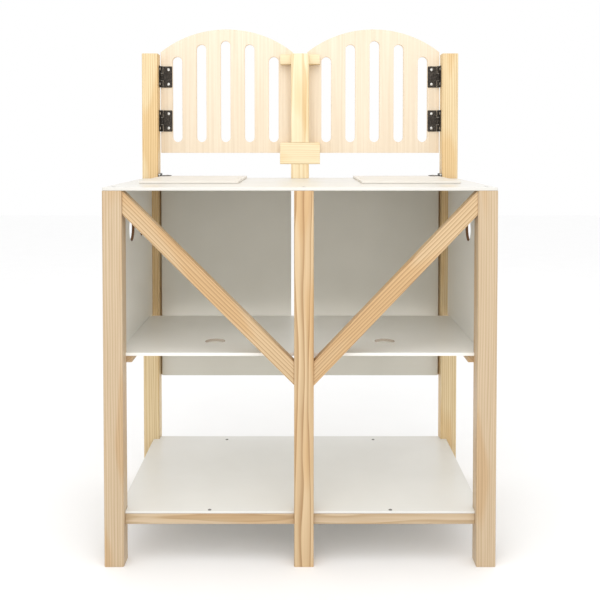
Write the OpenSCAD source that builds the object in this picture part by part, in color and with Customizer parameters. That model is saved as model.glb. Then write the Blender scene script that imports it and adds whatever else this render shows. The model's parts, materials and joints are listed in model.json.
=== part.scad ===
// Toy kitchen: a pine frame with thin white boards, two arched slotted shutters above the worktop
// and two flap lids that lie on the worktop.
// +Z is up, the open side of the cupboard faces -Y, and the origin is on the floor under the middle.

/* [Frame] */
// Width over the outer posts
kitchen_w = 600; // [570:1:640]
// Depth from the front of the front posts to the back of the rear posts
frame_d = 355; // [345:1:380]
// Height of the worktop's upper face
worktop_h = 583; // [575:1:590]
// Height of the two tall rear posts
rear_post_h = 820; // [812:1:830]
// Side of a post's square section
post_w = 30; // [28:1:32]
// How far the front middle post stands to the right of the centre line
mid_offset = 6; // [0:1:8]
// Width of a diagonal brace
brace_w = 25.5; // [20:0.5:28]

/* [Boards] */
// Thickness of the white boards
board_t = 5; // [4:0.5:6]
// Height of the middle shelf's upper face
mid_shelf_h = 325.5; // [315:0.5:335]
// Height of the bottom shelf's upper face
low_shelf_h = 82; // [75:1:90]
// Diameter of the two holes in the middle shelf
shelf_hole_d = 33; // [20:1:40]
// Diameter of the two round holes in each side panel
side_hole_d = 43; // [30:1:50]
// Height of the back panels' lower edge
back_panel_z = 200; // [180:1:240]

/* [Shutters] */
// Thickness of a shutter
shutter_t = 9; // [8:0.5:10]
// Height of the shutter's lower edge above the floor
shutter_z = 631; // [626:1:636]
// Height that the arch rises above the shutter's sides
arch_rise = 44; // [38:1:50]
// Width of a slot
slot_w = 19; // [14:1:20]
// Distance between neighbouring slots
slot_pitch = 46.7; // [45:0.1:47]
// Slots in one shutter
slot_count = 5; // [3:2:5]

/* [Lids] */
// Width of a flap lid
lid_w = 164; // [150:1:180]
// Depth of a flap lid
lid_d = 230; // [200:1:240]
// Thickness of a flap lid
lid_t = 4; // [3:0.5:5]
// Diameter of the round cut-out under each lid
bowl_hole_d = 130; // [100:1:140]

/* [Hinges] */
// Length of a shutter hinge
hinge_h = 41; // [36:1:46]
// Length of a lid hinge
lid_hinge_h = 22; // [20:1:26]
// Reach of a hinge leaf from the pin
leaf_w = 20; // [16:1:22]
// Thickness of a hinge leaf
leaf_t = 1.2; // [1:0.1:1.3]
// Radius of a hinge barrel
barrel_r = 2.2; // [2.1:0.1:2.4]
// Radius of a hinge pin
pin_r = 1.1; // [1:0.1:1.2]

/* [Hidden] */
$fn = 48;

PINE = [0.87, 0.72, 0.5];
PLY = [0.93, 0.8, 0.64];
WHITE = [0.93, 0.92, 0.89];
CREAM = [0.94, 0.92, 0.87];
BLACK = [0.08, 0.075, 0.07];
STEEL = [0.6, 0.6, 0.58];

half_w = kitchen_w / 2;
inner_x = half_w - post_w;            // inner faces of the outer posts
board_x = inner_x + 12;               // inner faces of the side panels
rear_y = frame_d - post_w;            // front faces of the rear posts
under_top = worktop_h - board_t;      // underside of the worktop
mid_left = mid_offset - post_w / 2;   // left face of the front middle post
mid_right = mid_offset + post_w / 2;
chamfer = 1.2;                        // broken long edges of the timber

// Rails and cleats
rail_h = 17;
rail_t = 20;
front_rail_y = 12;
low_board_t = 4;
low_rail_z = low_shelf_h - low_board_t - rail_h;
low_board_x = inner_x + 11;
rear_rail_y = rear_y - 14;
side_rail_x = inner_x - 8;            // inner faces of the side rails
shelf_cleat_w = 15;
shelf_cleat_h = 12;
shelf_cleat_x = inner_x + 6;          // outer faces of the shelf cleats
back_cleat_w = 12;

// Upright between the shutters: stub, lower stop, post and top stop
centre_w = 34;
stop_w = 76;
stub_h = 27;
lower_stop_h = 41;
top_stop_h = 19;
stop_d = post_w + 5;                  // the stops reach back to the closed shutters
lower_stop_z = worktop_h + stub_h;
centre_post_z = lower_stop_z + lower_stop_h;
dowel_r = 4;
dowel_reach = 18;

// Diagonal braces
brace_fall = 261.5;                   // from a brace's outer end down to its inner end
brace_y = 3;
brace_t = 20;

// Boards
mid_shelf_y = brace_y + brace_t;
mid_shelf_back = 300;
low_shelf_back = frame_d - 15;
back_panel_y = frame_d - 12;
back_panel_gap = 3;
back_panel_end_x = 17;
shelf_hole_x = 139;
shelf_hole_y = 100;
side_hole_y = [137, 223];
side_hole_z = 507;

// Hinges: the pin stands off the post, so that the moving barrel clears it
knuckle_gap = 0.4;
moving_gap = 0.8;                     // from a fixed barrel to the board that swings past it
pin_x = inner_x - barrel_r - knuckle_gap;
pin_clearance = 0.06;
pin_head_r = 1.9;
pin_head_h = 0.8;

// Shutters
shutter_pin_y = frame_d + 3;          // behind the post, so that the shutter can turn past it
shutter_y = shutter_pin_y + seat(false);
shutter_x = inner_x;                  // hinged edge
shutter_end_x = 14;
shutter_w = shutter_x - shutter_end_x;
arch_r = (pow(shutter_w / 2, 2) + arch_rise * arch_rise) / (2 * arch_rise);
shoulder_h = 195;
slot_shift = 2.4;                      // the row of slots sits nearer to the hinges
slot_low = 21;                        // solid wood under the slots
slot_apex = 22;                       // solid wood over the middle slot
slot_top_r = 157;                     // the slot tops follow a tighter arc than the arch
shutter_hinge_z = [672.5, 757.5];

// Flap lids
lid_lift = 0.2;                       // running gap under a closed lid
lid_top = worktop_h + lid_lift + lid_t;
lid_pin_z = lid_top + seat(false);
lid_x = pin_x - 1.4;                  // hinged edge
lid_end_y = rear_y + lid_hinge_h;
lid_centre_x = lid_x - lid_w / 2;
lid_centre_y = lid_end_y - lid_d / 2;
finger_r = 12;

// Screws
screw_r = 1.5;
screw_head_r = 3;
screw_head_h = 0.8;
leaf_screw_l = 7;
leaf_screw_x = leaf_w * 0.62;
leaf_hole_r = 1.7;
leaf_corner_r = 2;

overall_d = shutter_y + shutter_t;

module place() { translate([0, -overall_d / 2, 0]) children(); }
module on_right() { mirror([1, 0, 0]) children(); }
module both_sides() { children(); on_right() children(); }

// An upright stick with broken long edges
module stick(w, d, h) {
  c = chamfer;
  linear_extrude(h)
    polygon([[c, 0], [w - c, 0], [w, c], [w, d - c], [w - c, d], [c, d], [0, d - c], [0, c]]);
}
// Sticks that lie along X and along Y, with their lowest corner at the origin
module beam_x(l, d, h) { translate([0, 0, h]) rotate([0, 90, 0]) stick(h, d, l); }
module beam_y(w, l, h) { translate([0, l, 0]) rotate([90, 0, 0]) stick(w, h, l); }

// Posts
module front_post(x) { color(PINE) translate([x, 0, 0]) stick(post_w, post_w, under_top); }
module rear_post() { color(PINE) translate([-half_w, rear_y, 0]) stick(post_w, post_w, rear_post_h); }

module centre_stub() {
  color(PINE) translate([-centre_w / 2, rear_y, worktop_h]) stick(centre_w, post_w, stub_h);
}
module lower_stop() {
  color(PINE) translate([-stop_w / 2, rear_y, lower_stop_z]) beam_x(stop_w, stop_d, lower_stop_h);
}
// The post's rear half is cut away at the top, where the top stop crosses it
module centre_post() {
  color(PINE) difference() {
    translate([-centre_w / 2, rear_y, centre_post_z])
      stick(centre_w, post_w, rear_post_h - centre_post_z);
    translate([-centre_w, rear_y + post_w / 2, rear_post_h - top_stop_h])
      cube([2 * centre_w, post_w, top_stop_h + 1]);
  }
}
module top_stop() {
  color(PINE) translate([-stop_w / 2, rear_y + post_w / 2, rear_post_h - top_stop_h])
    beam_x(stop_w, stop_d - post_w / 2, top_stop_h);
}
module centre_dowels() {
  color(PLY) for (x = [-8, 8], z = [lower_stop_z, centre_post_z])
    translate([x, rear_y + post_w / 2, z - dowel_reach]) cylinder(r = dowel_r, h = 2 * dowel_reach);
}

// Rails and cleats
module front_rail(from, to) {
  color(PINE) translate([from, front_rail_y, low_rail_z]) beam_x(to - from, rail_t, rail_h);
}
module rear_bottom_rail() {
  color(PINE) translate([-side_rail_x, rear_rail_y, low_rail_z]) beam_x(2 * side_rail_x, rail_t, rail_h);
}
module bottom_side_rail() {
  from = front_rail_y + rail_t;       // behind the front rail
  color(PINE) translate([-low_board_x, from, low_rail_z])
    beam_y(low_board_x - side_rail_x, rear_y - from, rail_h);
}
module shelf_cleat() {
  color(PINE) translate([-shelf_cleat_x, post_w, mid_shelf_h - board_t - shelf_cleat_h])
    beam_y(shelf_cleat_w, rear_y - post_w, shelf_cleat_h);
}
module back_cleat() {
  y = back_panel_y + board_t;
  color(PINE) translate([-inner_x, y, back_panel_z])
    stick(back_cleat_w, frame_d - y, under_top - back_panel_z);
}

// A diagonal brace from under the worktop to the front middle post
module brace(post_face) {
  slope = brace_fall / (inner_x - post_face);
  drop = brace_w * sqrt(1 + slope * slope);
  low = under_top - brace_fall;
  color(PINE) translate([0, brace_y + brace_t, 0]) rotate([90, 0, 0]) linear_extrude(brace_t)
    polygon([[-inner_x, under_top], [-inner_x, under_top - drop], [-post_face, low - drop],
             [-post_face, low]]);
}

// Boards
module worktop() {
  color(WHITE) difference() {
    translate([0, 0, under_top]) linear_extrude(board_t) polygon([
      [-half_w, 2], [-half_w + 2, 0], [half_w - 2, 0], [half_w, 2], [half_w, rear_y],
      [lid_x, rear_y], [lid_x, frame_d], [-lid_x, frame_d], [-lid_x, rear_y], [-half_w, rear_y]]);
    both_sides() translate([-lid_centre_x, lid_centre_y, under_top - 1])
      cylinder(d = bowl_hole_d, h = board_t + 2);
  }
}
module middle_shelf() {
  color(WHITE) difference() {
    translate([0, 0, mid_shelf_h - board_t]) linear_extrude(board_t) polygon([
      [-inner_x, mid_shelf_y], [mid_left, mid_shelf_y], [mid_left, post_w], [mid_right, post_w],
      [mid_right, mid_shelf_y], [inner_x, mid_shelf_y], [inner_x, post_w], [board_x, post_w],
      [board_x, mid_shelf_back], [-board_x, mid_shelf_back], [-board_x, post_w], [-inner_x, post_w]]);
    both_sides() translate([-shelf_hole_x, shelf_hole_y, mid_shelf_h - board_t - 1])
      cylinder(d = shelf_hole_d, h = board_t + 2);
  }
}
module bottom_shelf() {
  color(WHITE) translate([0, 0, low_shelf_h - low_board_t]) linear_extrude(low_board_t) polygon([
    [-inner_x, front_rail_y], [mid_left, front_rail_y], [mid_left, post_w], [mid_right, post_w],
    [mid_right, front_rail_y], [inner_x, front_rail_y], [inner_x, post_w], [low_board_x, post_w],
    [low_board_x, rear_y], [inner_x, rear_y], [inner_x, low_shelf_back], [-inner_x, low_shelf_back],
    [-inner_x, rear_y], [-low_board_x, rear_y], [-low_board_x, post_w], [-inner_x, post_w]]);
}
module side_panel() {
  panel_z = mid_shelf_h - 3.5;
  color(WHITE) difference() {
    translate([-board_x - board_t, post_w, panel_z]) cube([board_t, rear_y - post_w, under_top - panel_z]);
    for (y = side_hole_y) translate([-board_x - board_t - 1, y, side_hole_z])
      rotate([0, 90, 0]) cylinder(d = side_hole_d, h = board_t + 2);
  }
}
module back_panel() {
  x = inner_x - back_panel_gap;
  color(WHITE) translate([-x, back_panel_y, back_panel_z])
    cube([x - back_panel_end_x, board_t, under_top - back_panel_z]);
}

// A screw points along -Z from a seat at z = 0
module screw(l) {
  translate([0, 0, -l]) cylinder(r = screw_r, h = l);
  cylinder(r1 = screw_head_r, r2 = screw_head_r * 0.7, h = screw_head_h);
}
module shelf_screws() {
  color(STEEL) for (x = [-140, 140], y = [16, 321]) translate([x, y, low_shelf_h]) screw(16);
}
module worktop_screws() {
  color(STEEL) for (x = [-half_w + post_w / 2, mid_offset, half_w - post_w / 2])
    translate([x, post_w / 2, worktop_h]) screw(22);
}
module back_cleat_screws() {
  color(STEEL) both_sides() for (z = [230, 390, 550])
    translate([-inner_x + back_cleat_w / 2, frame_d, z]) rotate([-90, 0, 0]) screw(11);
}

// Hinges. The pin runs up +Z from the origin, and the leaf reaches along +X.
// side is the side of the pin that the leaf's seat is on: 1 for +Y, -1 for -Y.
function seat(fixed) = barrel_r + (fixed ? knuckle_gap : moving_gap);
function screw_levels(l) = [l * 0.16, l * 0.84];

module leaf(l, side, fixed) {
  third = l / 3;
  from = fixed ? [0, 2 * third + knuckle_gap] : [third + knuckle_gap];
  size = fixed ? third - knuckle_gap : third - 2 * knuckle_gap;
  plate_y = side > 0 ? seat(fixed) - leaf_t : -seat(fixed);
  plate_x = barrel_r + knuckle_gap;
  difference() {
    union() {
      translate([plate_x, plate_y, 0]) cube([leaf_w - plate_x - leaf_corner_r, leaf_t, l]);
      translate([plate_x, plate_y, leaf_corner_r]) cube([leaf_w - plate_x, leaf_t, l - 2 * leaf_corner_r]);
      for (z = [leaf_corner_r, l - leaf_corner_r]) translate([leaf_w - leaf_corner_r, plate_y, z])
        rotate([-90, 0, 0]) cylinder(r = leaf_corner_r, h = leaf_t);
      for (z = from) {
        translate([0, plate_y, z]) cube([plate_x + 0.1, leaf_t, size]);
        translate([0, 0, z]) cylinder(r = barrel_r, h = size);
      }
    }
    translate([0, 0, -1]) cylinder(r = pin_r + pin_clearance, h = l + 2);
    for (z = screw_levels(l)) translate([leaf_screw_x, -2 * barrel_r, z])
      rotate([-90, 0, 0]) cylinder(r = leaf_hole_r, h = 4 * barrel_r);
  }
}
module leaf_screws(l, side, fixed) {
  for (z = screw_levels(l)) translate([leaf_screw_x, side * (seat(fixed) - leaf_t), z])
    rotate([side * 90, 0, 0]) screw(leaf_screw_l - (fixed ? 0 : 3));
}
module pin(l) {
  cylinder(r = pin_r, h = l);
  for (z = [-pin_head_h, l]) translate([0, 0, z]) cylinder(r = pin_head_r, h = pin_head_h);
}

// Places of the left-hand hinges, and the turn that lays a fixed leaf on the post's inner face.
// A lid's fixed leaf hangs down beside the worktop.
module at_shutter_hinges() { for (z = shutter_hinge_z) translate([-pin_x, shutter_pin_y, z]) children(); }
module at_lid_hinge() { translate([-pin_x, lid_end_y, lid_pin_z]) rotate([90, 0, 0]) children(); }
module fixed_turn() { rotate([0, 0, -90]) children(); }

module shutter_hinge_post_leaves() {
  color(BLACK) both_sides() at_shutter_hinges() fixed_turn() leaf(hinge_h, -1, true);
}
module lid_hinge_post_leaves() {
  color(BLACK) both_sides() at_lid_hinge() fixed_turn() leaf(lid_hinge_h, -1, true);
}
module post_hinge_screws() {
  color(STEEL) both_sides() {
    at_shutter_hinges() fixed_turn() leaf_screws(hinge_h, -1, true);
    at_lid_hinge() fixed_turn() leaf_screws(lid_hinge_h, -1, true);
  }
}
module shutter_hinge_pins() { color(STEEL) both_sides() at_shutter_hinges() pin(hinge_h); }
module lid_hinge_pins() { color(STEEL) both_sides() at_lid_hinge() pin(lid_hinge_h); }
module shutter_leaves() { color(BLACK) at_shutter_hinges() leaf(hinge_h, 1, false); }
module shutter_screws() { color(STEEL) at_shutter_hinges() leaf_screws(hinge_h, 1, false); }
module lid_leaf() { color(BLACK) at_lid_hinge() leaf(lid_hinge_h, -1, false); }
module lid_screws() { color(STEEL) at_lid_hinge() leaf_screws(lid_hinge_h, -1, false); }

// A slot with round ends, that stands on the origin
module slot(l, depth) {
  r = slot_w / 2;
  translate([-r, r, 0]) cube([slot_w, l - slot_w, depth]);
  for (y = [r, l - r]) translate([0, y, 0]) cylinder(r = r, h = depth);
}
// A shutter: an arched board with upright slots whose tops follow a tighter arc
module shutter() {
  peak = shoulder_h + arch_rise;
  color(PLY) translate([-(shutter_x + shutter_end_x) / 2, shutter_y + shutter_t, shutter_z])
    rotate([90, 0, 0]) difference() {
      linear_extrude(shutter_t) intersection() {
        translate([-shutter_w / 2, 0]) square([shutter_w, peak]);
        translate([0, peak - arch_r]) circle(r = arch_r, $fn = 180);
      }
      for (i = [-(slot_count - 1) / 2 : (slot_count - 1) / 2]) {
        x = i * slot_pitch;
        sag = slot_top_r - sqrt(slot_top_r * slot_top_r - x * x);
        translate([x - slot_shift, slot_low, -1]) slot(peak - slot_apex - sag - slot_low, shutter_t + 2);
      }
    }
}

// A lid with a half-round finger notch in its free edge
module lid() {
  color(CREAM) translate([0, 0, worktop_h + lid_lift]) difference() {
    translate([-lid_x, lid_end_y - lid_d, 0]) cube([lid_w, lid_d, lid_t]);
    translate([lid_w - lid_x, lid_centre_y, -1]) cylinder(r = finger_r, h = lid_t + 2);
  }
}

place() {
  front_post(-half_w);  // front_post_left
  front_post(inner_x);  // front_post_right
  front_post(mid_left);  // front_post_middle
  rear_post();  // rear_post_left
  on_right() rear_post();  // rear_post_right
  centre_stub();
  lower_stop();
  centre_post();
  top_stop();
  centre_dowels();
  brace(-mid_left);  // brace_left
  on_right() brace(mid_right);  // brace_right
  front_rail(-inner_x, mid_left);  // front_rail_left
  front_rail(mid_right, inner_x);  // front_rail_right
  rear_bottom_rail();
  bottom_side_rail();  // bottom_side_rail_left
  on_right() bottom_side_rail();  // bottom_side_rail_right
  shelf_cleat();  // shelf_cleat_left
  on_right() shelf_cleat();  // shelf_cleat_right
  back_cleat();  // back_cleat_left
  on_right() back_cleat();  // back_cleat_right
  worktop();
  middle_shelf();
  bottom_shelf();
  side_panel();  // side_panel_left
  on_right() side_panel();  // side_panel_right
  back_panel();  // back_panel_left
  on_right() back_panel();  // back_panel_right
  shelf_screws();
  worktop_screws();
  back_cleat_screws();
  shutter();  // shutter_left
  on_right() shutter();  // shutter_right
  shutter_hinge_post_leaves();
  shutter_hinge_pins();
  shutter_leaves();  // shutter_leaves_left
  on_right() shutter_leaves();  // shutter_leaves_right
  shutter_screws();  // shutter_screws_left
  on_right() shutter_screws();  // shutter_screws_right
  lid();  // lid_left
  on_right() lid();  // lid_right
  lid_hinge_post_leaves();
  lid_hinge_pins();
  lid_leaf();  // lid_leaf_left
  on_right() lid_leaf();  // lid_leaf_right
  lid_screws();  // lid_screws_left
  on_right() lid_screws();  // lid_screws_right
  post_hinge_screws();
}
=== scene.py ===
"""Looks of the toy kitchen: pine sticks, lacquered boards, shutters, lids and hinges.

A copy of each CAD node's mesh, with softened edges and a procedural material, stands for it.
Lengths are in metres, and colours are linear red, green and blue.
"""
import json
import math

import bmesh
import bpy
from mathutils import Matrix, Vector


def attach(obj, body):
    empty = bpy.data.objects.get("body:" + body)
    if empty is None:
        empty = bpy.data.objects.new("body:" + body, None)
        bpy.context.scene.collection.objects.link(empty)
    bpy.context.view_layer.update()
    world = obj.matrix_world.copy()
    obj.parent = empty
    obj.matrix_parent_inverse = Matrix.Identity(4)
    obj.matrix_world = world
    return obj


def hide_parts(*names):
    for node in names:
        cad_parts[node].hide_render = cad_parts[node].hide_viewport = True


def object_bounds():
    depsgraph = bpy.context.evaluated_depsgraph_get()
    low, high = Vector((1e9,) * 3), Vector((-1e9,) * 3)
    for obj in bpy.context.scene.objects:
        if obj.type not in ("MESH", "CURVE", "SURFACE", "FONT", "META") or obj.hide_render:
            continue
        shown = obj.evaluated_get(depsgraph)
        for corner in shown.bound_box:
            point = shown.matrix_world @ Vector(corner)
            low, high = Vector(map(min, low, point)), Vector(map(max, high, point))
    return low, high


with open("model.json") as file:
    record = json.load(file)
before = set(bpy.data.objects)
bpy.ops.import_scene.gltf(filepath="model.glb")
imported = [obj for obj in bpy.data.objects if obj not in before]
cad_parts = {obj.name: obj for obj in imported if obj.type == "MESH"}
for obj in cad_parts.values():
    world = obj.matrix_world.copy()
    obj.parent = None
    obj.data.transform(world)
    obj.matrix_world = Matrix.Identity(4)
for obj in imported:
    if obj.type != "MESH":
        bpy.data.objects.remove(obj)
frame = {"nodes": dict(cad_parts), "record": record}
cad_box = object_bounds()
record = frame["record"]
BODY = {node: body for body, nodes in record["behaviour"]["bodies"].items() for node in nodes}
SLOT = {row["node"]: row["material_slot"] for row in record["subparts"]}

X, Y, Z = range(3)
ALONG_X = (1, 0, 0)
ALONG_Y = (0, 1, 0)
UP = (0, 0, 1)
# The braces run at about 45 degrees.
FALLING = (1, 0, -1)
RISING = (1, 0, 1)


# ---- shader nodes ----

def new_material(name, roughness, metallic=0.0, coat=0.0, specular=0.5):
    """A node material whose constant values sit on the shader's own sockets."""
    material = bpy.data.materials.new(name)
    material.use_nodes = True
    shader = material.node_tree.nodes["Principled BSDF"]
    shader.inputs["Roughness"].default_value = roughness
    shader.inputs["Metallic"].default_value = metallic
    shader.inputs["Coat Weight"].default_value = coat
    shader.inputs["Coat Roughness"].default_value = 0.25
    shader.inputs["Specular IOR Level"].default_value = specular
    return material, material.node_tree.nodes, material.node_tree.links, shader


def position(nodes, links, rotation=(0, 0, 0), shift=(0, 0, 0), scale=(1, 1, 1)):
    """The piece's own coordinates, turned and shifted first and then stretched."""
    coordinate = nodes.new("ShaderNodeTexCoord")
    turn = nodes.new("ShaderNodeMapping")
    turn.inputs["Rotation"].default_value = rotation
    turn.inputs["Location"].default_value = shift
    stretch = nodes.new("ShaderNodeMapping")
    stretch.inputs["Scale"].default_value = scale
    links.new(coordinate.outputs["Object"], turn.inputs["Vector"])
    links.new(turn.outputs["Vector"], stretch.inputs["Vector"])
    return stretch.outputs["Vector"]


def noise(nodes, links, vector, per_metre, detail):
    """Noise with about this many features to a metre."""
    texture = nodes.new("ShaderNodeTexNoise")
    texture.inputs["Scale"].default_value = per_metre
    texture.inputs["Detail"].default_value = detail
    links.new(vector, texture.inputs["Vector"])
    return texture.outputs["Fac"]


def ramp(nodes, links, value, stops):
    """Maps a value to colours. stops is a list of (place, colour)."""
    node = nodes.new("ShaderNodeValToRGB")
    elements = node.color_ramp.elements
    while len(elements) < len(stops):
        elements.new(0.5)
    for element, (place, colour) in zip(elements, stops):
        element.position = place
        element.color = (*colour, 1)
    links.new(value, node.inputs["Fac"])
    return node.outputs["Color"]


def multiply(nodes, links, first, second, amount):
    """Darkens the first colour by the second, as far as amount says."""
    node = nodes.new("ShaderNodeMix")
    node.data_type = "RGBA"
    node.blend_type = "MULTIPLY"
    node.inputs["Factor"].default_value = amount
    links.new(first, node.inputs["A"])
    links.new(second, node.inputs["B"])
    return node.outputs["Result"]


def bump(nodes, links, shader, height, strength, depth):
    """Fine relief from a height texture."""
    node = nodes.new("ShaderNodeBump")
    node.inputs["Strength"].default_value = strength
    node.inputs["Distance"].default_value = depth
    links.new(height, node.inputs["Height"])
    links.new(node.outputs["Normal"], shader.inputs["Normal"])


def grey(level):
    return (level, level, level)


def between(first, second, amount):
    """A colour part of the way from one to another."""
    return tuple(a + (b - a) * amount for a, b in zip(first, second))


# ---- materials ----

WHITE = grey(1)
STREAK_TONE = (0.86, 0.82, 0.76)
HEARTWOOD_TONE = (0.9, 0.74, 0.52)
PINE_RING = 0.0034
SHUTTER_RING = 0.012
# Distance between the wave texture's rings at a scale of 1.
RING_UNIT = math.pi / 10
# How far the tree's heart lies from the coordinates' own axis, and how much that differs by stick.
HEART_PLACE = (0.05, 0.04)
HEART_SPREAD = 0.03
# Steps from stick to stick: two for the heart's place and one along the trunk.
HEART_STEPS = (1.7, 2.3)
TRUNK_STEP = 0.37


def grain_position(nodes, links, direction, seed, stretch):
    """Coordinates with Z along the grain. A smaller stretch draws the texture out further."""
    rotation = Vector(direction).rotation_difference(Vector(UP)).to_euler()
    heart = (
        HEART_PLACE[X] + HEART_SPREAD * math.sin(seed * HEART_STEPS[X]),
        HEART_PLACE[Y] + HEART_SPREAD * math.cos(seed * HEART_STEPS[Y]),
        seed * TRUNK_STEP,
    )
    return position(nodes, links, rotation, heart, (1, 1, stretch))


def growth_rings(nodes, links, vector, ring):
    """Sawtooth rings about the grain's axis, slightly wavy."""
    wave = nodes.new("ShaderNodeTexWave")
    wave.wave_type = "RINGS"
    wave.rings_direction = "Z"
    wave.wave_profile = "SAW"
    wave.inputs["Scale"].default_value = RING_UNIT / ring
    wave.inputs["Distortion"].default_value = 8.0
    wave.inputs["Detail"].default_value = 2.0
    wave.inputs["Detail Scale"].default_value = 0.5
    links.new(vector, wave.inputs["Vector"])
    return wave.outputs["Fac"]


def wood(name, light, dark, direction, seed, contrast=1.0, ring=PINE_RING, heartwood=0.55):
    """Pine with growth rings about an axis outside the stick, so its faces show long grain."""
    material, nodes, links, shader = new_material(name, roughness=0.5, coat=0.08)
    late = between(light, dark, contrast)
    middle = between(light, late, 0.35)
    rings = growth_rings(nodes, links, grain_position(nodes, links, direction, seed, 0.07), ring)
    colour = ramp(nodes, links, rings, [(0, light), (0.6, middle), (0.92, late), (1, light)])

    streaks = noise(nodes, links, grain_position(nodes, links, direction, seed, 0.02), 260, detail=4)
    streak_tone = ramp(nodes, links, streaks, [(0.3, STREAK_TONE), (0.7, WHITE)])
    colour = multiply(nodes, links, colour, streak_tone, 0.75)

    blotch = noise(nodes, links, grain_position(nodes, links, direction, seed, 0.16), 26, detail=1)
    blotch_tone = ramp(nodes, links, blotch, [(0.42, HEARTWOOD_TONE), (0.5, WHITE)])
    colour = multiply(nodes, links, colour, blotch_tone, heartwood)

    links.new(colour, shader.inputs["Base Color"])
    sheen = ramp(nodes, links, streaks, [(0.2, grey(0.42)), (0.8, grey(0.58))])
    links.new(sheen, shader.inputs["Roughness"])
    bump(nodes, links, shader, streaks, strength=0.25, depth=0.0004)
    return material


def lacquer(name, colour, shade, roughness, coat, peel=0.12):
    """Sprayed board: a faint orange peel and a very slight change of tone."""
    material, nodes, links, shader = new_material(name, roughness, coat=coat)
    place = position(nodes, links)
    tone = noise(nodes, links, place, 9, detail=2)
    links.new(ramp(nodes, links, tone, [(0.3, shade), (0.7, colour)]), shader.inputs["Base Color"])
    smear = noise(nodes, links, place, 30, detail=3)
    glossier = grey(roughness - 0.05)
    duller = grey(roughness + 0.06)
    links.new(ramp(nodes, links, smear, [(0.3, glossier), (0.7, duller)]), shader.inputs["Roughness"])
    orange_peel = noise(nodes, links, place, 500, detail=1)
    bump(nodes, links, shader, orange_peel, strength=peel, depth=0.0002)
    return material


def fibre(name, light, dark):
    """Raw edge of a fibre board."""
    material, nodes, links, shader = new_material(name, roughness=0.85, specular=0.3)
    grain = noise(nodes, links, position(nodes, links), 900, detail=4)
    links.new(ramp(nodes, links, grain, [(0.3, dark), (0.7, light)]), shader.inputs["Base Color"])
    bump(nodes, links, shader, grain, strength=0.4, depth=0.0003)
    return material


def metal(name, colour, worn, roughness, metallic):
    """Plated or blackened metal, rubbed brighter in small patches."""
    material, nodes, links, shader = new_material(name, roughness, metallic)
    place = position(nodes, links)
    patch = noise(nodes, links, place, 350, detail=4)
    links.new(ramp(nodes, links, patch, [(0.45, colour), (0.75, worn)]), shader.inputs["Base Color"])
    rubbed = grey(roughness - 0.08)
    unrubbed = grey(roughness + 0.12)
    links.new(ramp(nodes, links, patch, [(0.3, unrubbed), (0.7, rubbed)]), shader.inputs["Roughness"])
    fine_grain = noise(nodes, links, place, 2500, detail=2)
    bump(nodes, links, shader, fine_grain, strength=0.1, depth=0.0001)
    return material


# ---- pieces ----

# Width of each softened edge, and the number of steps round it.
STICK_EDGE = (0.0008, 3)
BOARD_EDGE = (0.0005, 2)
WORKTOP_EDGE = (0.0012, 4)
LID_EDGE = (0.0008, 3)
SHUTTER_EDGE = (0.0012, 3)
HINGE_EDGE = (0.00025, 2)
SCREW_EDGE = (0.0002, 2)
SAME_POINT = 1e-6
FLAT_ANGLE = math.radians(0.5)
SHARP_ANGLE = math.radians(35)
BEVEL_ANGLE = math.radians(40)


def cleaned_mesh(node):
    """The CAD node's mesh with its flat faces joined up, ready for an edge bevel."""
    mesh = frame["nodes"][node].data.copy()
    mesh.materials.clear()
    work = bmesh.new()
    work.from_mesh(mesh)
    bmesh.ops.remove_doubles(work, verts=work.verts, dist=SAME_POINT)
    bmesh.ops.dissolve_limit(work, angle_limit=FLAT_ANGLE, verts=work.verts, edges=work.edges)
    work.to_mesh(mesh)
    work.free()
    return mesh


def dress(node, material, edge):
    """Stands for a CAD node: the same shape with softened edges and its own material."""
    mesh = cleaned_mesh(node)
    mesh.materials.append(material)
    piece = bpy.data.objects.new(node + "_piece", mesh)
    bpy.context.collection.objects.link(piece)
    mesh.shade_smooth()
    mesh.set_sharp_from_angle(angle=SHARP_ANGLE)
    bevel = piece.modifiers.new("edge", "BEVEL")
    bevel.width, bevel.segments = edge
    bevel.limit_method = "ANGLE"
    bevel.angle_limit = BEVEL_ANGLE
    bevel.use_clamp_overlap = True
    bevel.harden_normals = True
    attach(piece, BODY[node])
    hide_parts(node)
    return piece


def raw_rims(piece, thin_axis, material, margin=0.004):
    """Gives the walls of the holes through a board a material of their own."""
    piece.data.materials.append(material)
    across = [axis for axis in range(3) if axis != thin_axis]
    corners = [vertex.co for vertex in piece.data.vertices]
    low = [min(corner[axis] for corner in corners) + margin for axis in range(3)]
    high = [max(corner[axis] for corner in corners) - margin for axis in range(3)]
    for face in piece.data.polygons:
        is_wall = abs(face.normal[thin_axis]) < 0.5
        is_inside = all(low[axis] < face.center[axis] < high[axis] for axis in across)
        if is_wall and is_inside:
            face.material_index = 1


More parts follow.
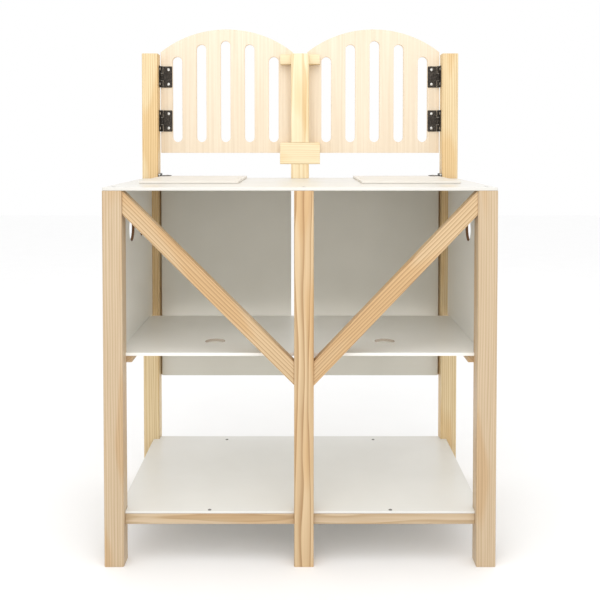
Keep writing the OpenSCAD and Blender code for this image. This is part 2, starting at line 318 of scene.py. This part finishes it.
# Each palette is (early wood, late wood), and each stick has a palette and its grain's direction.
PALE = ((0.64, 0.5, 0.34), (0.5, 0.36, 0.21))
REAR = ((0.84, 0.69, 0.43), (0.64, 0.45, 0.22))
WARM = ((0.7, 0.52, 0.31), (0.42, 0.25, 0.11))
FAIR = ((0.9, 0.79, 0.55), (0.78, 0.6, 0.34))
STICKS = {
    "front_post_left": (PALE, UP),
    "front_post_right": (PALE, UP),
    "front_post_middle": (WARM, UP),
    "rear_post_left": (REAR, UP),
    "rear_post_right": (REAR, UP),
    "centre_stub": (FAIR, UP),
    "centre_post": (FAIR, UP),
    "centre_dowels": (FAIR, UP),
    "lower_stop": (FAIR, ALONG_X),
    "top_stop": (FAIR, ALONG_X),
    "brace_left": (WARM, FALLING),
    "brace_right": (WARM, RISING),
    "front_rail_left": (PALE, ALONG_X),
    "front_rail_right": (PALE, ALONG_X),
    "rear_bottom_rail": (PALE, ALONG_X),
    "bottom_side_rail_left": (PALE, ALONG_Y),
    "bottom_side_rail_right": (PALE, ALONG_Y),
    "shelf_cleat_left": (PALE, ALONG_Y),
    "shelf_cleat_right": (PALE, ALONG_Y),
    "back_cleat_left": (PALE, UP),
    "back_cleat_right": (PALE, UP),
}
SHUTTER_WOOD = ((0.84, 0.73, 0.58), (0.8, 0.68, 0.52))
FIRST_SHUTTER_SEED = 40


def sticks():
    for seed, (node, ((light, dark), direction)) in enumerate(STICKS.items()):
        dress(node, wood("wood_" + node, light, dark, direction, seed), STICK_EDGE)


def boards():
    """Shelves, panels, worktop and lids, with raw board showing in their holes."""
    white = lacquer("white_lacquer", (0.92, 0.91, 0.86), (0.89, 0.88, 0.83), 0.38, 0.15)
    # The bottom shelf gets a darker copy of the white lacquer: painted shade, for the shade deep in the
    # bottom bay.
    shelf_white_with_painted_shade = lacquer("shelf_lacquer_painted_shade", (0.78, 0.77, 0.73), (0.75, 0.74, 0.7), 0.38, 0.15)
    # The back panels get a greyer, darker copy of the white lacquer: painted shade, for the shade they
    # sit in at the back of the bays.
    panel_white_with_painted_shade = lacquer("panel_lacquer_painted_shade", (0.7, 0.68, 0.61), (0.66, 0.64, 0.57), 0.45, 0.08)
    glossy_white = lacquer("worktop_lacquer", (0.72, 0.7, 0.65), (0.7, 0.68, 0.63), 0.34, 0.2, peel=0.03)
    cream = lacquer("lid_lacquer", (0.75, 0.71, 0.64), (0.73, 0.69, 0.62), 0.42, 0.1, peel=0.05)
    raw_edge = fibre("raw_board_edge", (0.24, 0.12, 0.05), (0.05, 0.02, 0.01))
    shelf_edge = fibre("shelf_hole_edge", (0.5, 0.44, 0.36), (0.36, 0.3, 0.24))

    raw_rims(dress("middle_shelf", white, BOARD_EDGE), Z, shelf_edge)
    dress("bottom_shelf", shelf_white_with_painted_shade, BOARD_EDGE)
    for side in ("left", "right"):
        dress("back_panel_" + side, panel_white_with_painted_shade, BOARD_EDGE)
    for side in ("left", "right"):
        raw_rims(dress("side_panel_" + side, white, BOARD_EDGE), X, raw_edge)
    raw_rims(dress("worktop", glossy_white, WORKTOP_EDGE), Z, raw_edge)
    for side in ("left", "right"):
        dress("lid_" + side, cream, LID_EDGE)


def shutters():
    slot_edge = fibre("slot_edge", (0.86, 0.74, 0.58), (0.76, 0.6, 0.42))
    for seed, node in enumerate(("shutter_left", "shutter_right"), start=FIRST_SHUTTER_SEED):
        board = wood(
            "board_" + node, *SHUTTER_WOOD, UP, seed, contrast=0.3, ring=SHUTTER_RING, heartwood=0.04
        )
        raw_rims(dress(node, board, SHUTTER_EDGE), Y, slot_edge)


def hinges_and_screws():
    black = metal("blackened_steel", (0.03, 0.024, 0.018), (0.1, 0.085, 0.07), 0.4, 0.6)
    steel = metal("bright_steel", (0.6, 0.59, 0.56), (0.75, 0.74, 0.72), 0.32, 1.0)
    dull_steel = metal("dull_steel", (0.2, 0.19, 0.18), (0.34, 0.33, 0.31), 0.45, 1.0)
    for node, slot in SLOT.items():
        if slot == "hinge_black":
            dress(node, black, HINGE_EDGE)
        elif slot == "steel":
            dress(node, dull_steel if node == "shelf_screws" else steel, SCREW_EDGE)


# ---- floor, lights and camera ----

FLOOR_SIZE = 12
MIDDLE = (0, 0, 0.45)
# Each light has a place, the point that it shines at, its size and its power in watts.
LIGHTS = {
    "key": ((-1.4, -2.2, 2.2), MIDDLE, 1.8, 4),
    "back": ((0.4, 2.2, 2.0), MIDDLE, 1.8, 2),
    "upper": ((0, -0.6, 1.5), (0, 0.17, 0.76), 0.8, 4),
    "bays": ((0, -1.0, 0.8), (0, 0.1, 0.38), 0.6, 1.6),
}
# The camera's distance from the front of the kitchen, its height, and its turn up from straight down.
CAMERA_DISTANCE = 1.253
CAMERA_HEIGHT = 0.65
CAMERA_TURN = math.radians(88.2)
# Lens and sensor in millimetres. The shift is a part of the sensor's width.
CAMERA_LENS = 49.8
CAMERA_SENSOR = 36
CAMERA_SHIFT = -0.218


def area_light(name, place, target, size, power):
    light = bpy.data.lights.new(name, "AREA")
    light.size = size
    light.energy = power
    lamp = bpy.data.objects.new(name, light)
    lamp.location = place
    lamp.visible_camera = False
    lamp.rotation_euler = (Vector(target) - Vector(place)).to_track_quat("-Z", "Y").to_euler()
    bpy.context.collection.objects.link(lamp)


def studio():
    """A pale floor, a white world and soft lights."""
    bpy.ops.mesh.primitive_plane_add(size=FLOOR_SIZE)
    floor = bpy.context.object
    floor.name = "floor"
    floor.data.materials.append(lacquer("pale_floor", grey(0.98), grey(0.97), 0.9, 0.0))
    world = bpy.data.worlds.new("studio")
    world.use_nodes = True
    background = world.node_tree.nodes["Background"]
    background.inputs["Color"].default_value = (*WHITE, 1)
    background.inputs["Strength"].default_value = 1.0
    bpy.context.scene.world = world
    for name, (place, target, size, power) in LIGHTS.items():
        area_light(name, place, target, size, power)
    bpy.context.scene.view_settings.view_transform = "Standard"


def photo_camera():
    front = cad_box[0][Y]
    data = bpy.data.cameras.new("camera")
    data.sensor_width = CAMERA_SENSOR
    data.lens = CAMERA_LENS
    data.shift_y = CAMERA_SHIFT
    camera = bpy.data.objects.new("camera", data)
    camera.location = (0, front - CAMERA_DISTANCE, CAMERA_HEIGHT)
    camera.rotation_euler = (CAMERA_TURN, 0, 0)
    bpy.context.collection.objects.link(camera)
    bpy.context.scene.camera = camera


sticks()
boards()
shutters()
hinges_and_screws()
studio()
photo_camera()
